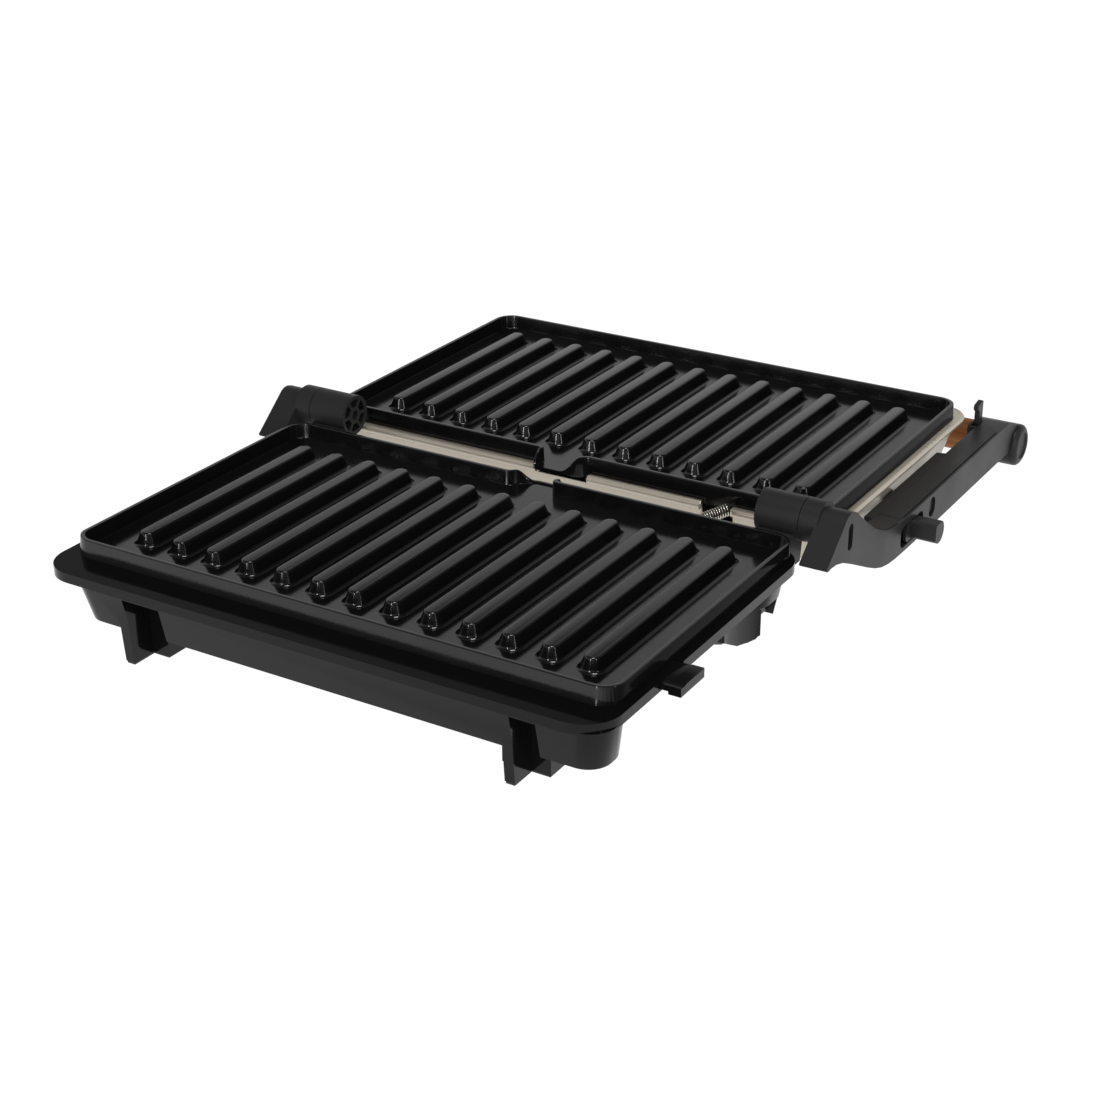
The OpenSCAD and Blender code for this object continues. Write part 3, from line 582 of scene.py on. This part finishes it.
def wooden_grip():
    """Turned bar along X with rounded ends."""
    low, high = (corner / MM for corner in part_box("handle_grip"))
    axis = ((low + high) / 2) * MM
    radius = (high.z - low.z) / 2
    middle = high.x - low.x - 2 * GRIP_MIDDLE_FROM
    profile = [(low.x + inward, radius - loss) for inward, loss in GRIP_END]
    for k in range(GRIP_MIDDLE_STEPS + 1):
        profile.append((low.x + GRIP_MIDDLE_FROM + middle * k / GRIP_MIDDLE_STEPS, radius))
    profile += [(high.x - inward, radius - loss) for inward, loss in reversed(GRIP_END)]
    rings = []
    for x, r in profile:
        rings.append([Vector((x * MM, axis.y + r * MM * math.cos(a), axis.z + r * MM * math.sin(a)))
                      for a in around(GRIP_SIDES)])
    bm = bmesh.new()
    add_loft(bm, rings)
    piece = to_object("wooden_grip", bm, "wood")
    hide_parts("handle_grip")
    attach(piece, "yoke")


def conduit_spring():
    """Spring over the leads between the base and the lid, and the dark sleeve inside it."""
    radius = SPRING_RADIUS * MM
    wire = WIRE_RADIUS * MM
    start, bend, end = (Vector(point) * MM for point in (CONDUIT_FROM, CONDUIT_BEND, CONDUIT_TO))

    def station(t):
        """Point of the middle line, its direction, and two directions across it."""
        point = start.lerp(bend, t).lerp(bend.lerp(end, t), t)
        along = (bend - start).lerp(end - bend, t).normalized()
        side = along.cross(Vector((0, 0, 1))).normalized()
        return point, along, side, side.cross(along)

    bm = bmesh.new()
    rings = []
    for i in range(SPRING_TURNS * TURN_STEPS + 1):
        point, along, side, up = station(i / (SPRING_TURNS * TURN_STEPS))
        angle = 2 * math.pi * i / TURN_STEPS
        out = side * math.cos(angle) + up * math.sin(angle)
        rings.append([point + out * (radius + wire * math.cos(a)) + along * (wire * math.sin(a))
                      for a in around(WIRE_SIDES)])
    add_loft(bm, rings)
    piece = to_object("conduit_spring", bm, "spring_wire", sharp_angle=80)
    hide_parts("wire_conduit_spring")
    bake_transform(piece)

    bm = bmesh.new()
    rings = []
    for k in range(SLEEVE_STEPS + 1):
        point, along, side, up = station(k / SLEEVE_STEPS)
        rings.append([point + (side * math.cos(a) + up * math.sin(a)) * (radius - wire)
                      for a in around(TURN_STEPS)])
    add_loft(bm, rings)
    sleeve = to_object("conduit_sleeve", bm, "matte_black")
    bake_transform(sleeve)


def arm_top(name, side):
    """Cover skin and inner wing of an arm; side is +1 on the right."""
    bm = bmesh.new()

    def block(outline, z0, z1):
        points = [(x if side > 0 else MIRROR_X - x, y) for x, y in outline]
        add_loft(bm, [[Vector((x, y, z)) * MM for x, y in points] for z in (z0, z1)])

    inner, outer = WING_X
    front, back = WING_Y
    block([(inner, front), (outer, front), (outer, back + WING_SLANT), (inner, back)], *WING_Z)
    inner = outer - COVER_OVERLAP
    outer = COVER_OUTER_X
    front, back = COVER_Y
    top = WING_Z[1]
    block([(inner, front), (outer, front), (outer, back), (inner, back)], top - COVER_THICKNESS, top)
    piece = to_object(name, bm, "hinge_black")
    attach(piece, "yoke")


def bead_rings(run, z):
    """Circles across a run of (x, y) points at the height z."""
    rings = []
    for i, (x, y) in enumerate(run):
        along = Vector(run[min(i + 1, len(run) - 1)]) - Vector(run[max(i - 1, 0)])
        out = Vector((along.y, -along.x)).normalized()
        ring = []
        for a in around(BEAD_SIDES):
            across = BEAD_RADIUS * math.cos(a)
            ring.append(Vector((x + out.x * across, y + out.y * across, z + BEAD_RADIUS * math.sin(a))) * MM)
        rings.append(ring)
    return rings


def lid_bead():
    """Rolled edge along the lid's lip, open at the spout and at the conduit's notch."""
    low, high = (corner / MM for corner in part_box("lid_cover"))
    centre = (low.x + high.x) / 2
    half = (high.x - low.x) / 2 - BEAD_RADIUS + BEAD_OUT
    front = low.y + BEAD_RADIUS - BEAD_OUT
    back = high.y - BEAD_RADIUS + BEAD_OUT
    radius = BEAD_CORNER_RADIUS
    corners = (
        (half - radius, front + radius, 270),
        (half - radius, back - radius, 0),
        (radius - half, back - radius, 90),
        (radius - half, front + radius, 180),
    )
    loop = []
    for cx, cy, angle in corners:
        loop += [(centre + x, y) for x, y in arc(cx, cy, radius, angle, angle + 90, ARC_STEPS)]
    long_run = [(NOTCH_GAP[1], front)] + loop + [(SPOUT_GAP[0], front)]
    short_run = [(SPOUT_GAP[1], front), (NOTCH_GAP[0], front)]
    bm = bmesh.new()
    for run in (long_run, short_run):
        add_loft(bm, bead_rings(run, high.z - BEAD_RADIUS))
    piece = to_object("lid_bead", bm, "champagne_metal", sharp_angle=60)
    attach(piece, "lid")


def dress(node, width):
    """Gives a node that keeps its own shape its material, and rounds its sharp edges by width."""
    piece = frame["nodes"][node]
    slot = next(part["material_slot"] for part in frame["record"]["subparts"] if part["node"] == node)
    piece.data.materials.clear()
    piece.data.materials.append(LOOKS.get(node, MATERIALS[slot]))
    # Without its loaded normals, the modifiers can work out new ones
    if "custom_normal" in piece.data.attributes:
        piece.data.attributes.remove(piece.data.attributes["custom_normal"])
    piece.data.shade_smooth()
    weld = piece.modifiers.new("weld", "WELD")
    weld.merge_threshold = WELD_REACH * MM
    flat = piece.modifiers.new("flat", "DECIMATE")
    flat.decimate_type = "DISSOLVE"
    flat.angle_limit = math.radians(FLAT_ANGLE)
    if not width:
        weighted = piece.modifiers.new("weighted", "WEIGHTED_NORMAL")
        weighted.weight = FACE_WEIGHT
        return
    bevel = piece.modifiers.new("bevel", "BEVEL")
    bevel.width = width * MM
    bevel.segments = EDGE_SEGMENTS
    bevel.limit_method = "ANGLE"
    bevel.angle_limit = math.radians(EDGE_ANGLE)
    bevel.harden_normals = True


def make_camera():
    data = bpy.data.cameras.new("camera")
    data.lens = CAMERA_LENS
    data.sensor_width = SENSOR_WIDTH
    camera = bpy.data.objects.new("camera", data)
    bpy.context.scene.collection.objects.link(camera)
    turn = Vector(CAMERA_TURN)
    world_to_camera = Quaternion(turn.normalized(), turn.length).to_matrix()
    flip = Matrix(((1, 0, 0), (0, -1, 0), (0, 0, -1)))
    camera.matrix_world = Matrix.Translation(CAMERA_AT) @ (flip @ world_to_camera).transposed().to_4x4()
    bpy.context.scene.camera = camera


def add_light(name, at, aim, width, height, power):
    data = bpy.data.lights.new(name, "AREA")
    data.shape = "RECTANGLE"
    data.size = width
    data.size_y = height
    data.energy = power
    light = bpy.data.objects.new(name, data)
    light.location = at
    light.rotation_mode = "QUATERNION"
    light.rotation_quaternion = (Vector(aim) - Vector(at)).to_track_quat("-Z", "Y")
    bpy.context.scene.collection.objects.link(light)


def make_world():
    world = bpy.data.worlds.new("studio")
    bpy.context.scene.world = world
    world.use_nodes = True
    background = world.node_tree.nodes["Background"]
    background.inputs["Color"].default_value = (1, 1, 1, 1)
    direction = world.node_tree.nodes.new("ShaderNodeTexCoord")
    height = pick_axis(world, direction.outputs["Generated"], "Z")
    brightness = ramp_value(world, height, SKY_LOW_TO, SKY_TOP_FROM, SKY_LOW, SKY_TOP)
    world.node_tree.links.new(brightness, background.inputs["Strength"])


def make_floor():
    """Floor with an even white glow of its own."""
    bm = bmesh.new()
    bmesh.ops.create_grid(bm, x_segments=1, y_segments=1, size=FLOOR_SIZE)
    mesh = bpy.data.meshes.new("floor")
    bm.to_mesh(mesh)
    bm.free()
    floor = bpy.data.objects.new("floor", mesh)
    material = new_material("floor", (0, 0, 0), roughness=1)
    inputs = material.node_tree.nodes["Principled BSDF"].inputs
    inputs["Emission Color"].default_value = (1, 1, 1, 1)
    inputs["Emission Strength"].default_value = FLOOR_GLOW
    floor.data.materials.append(material)
    bpy.context.scene.collection.objects.link(floor)


grill_plate("lower_plate", "lower_grill_plate", -1, "base")
grill_plate("upper_plate", "upper_grill_plate", 1, "lid")
wooden_grip()
conduit_spring()
arm_top("arm_top_right", 1)
arm_top("arm_top_left", -1)
lid_bead()

for node_name, node_object in frame["nodes"].items():
    if not node_object.hide_render:
        dress(node_name, EDGES.get(node_name, FINE_EDGE))

make_camera()
make_world()
for light in LIGHTS:
    add_light(*light)
make_floor()
bpy.context.scene.view_settings.view_transform = "Standard"
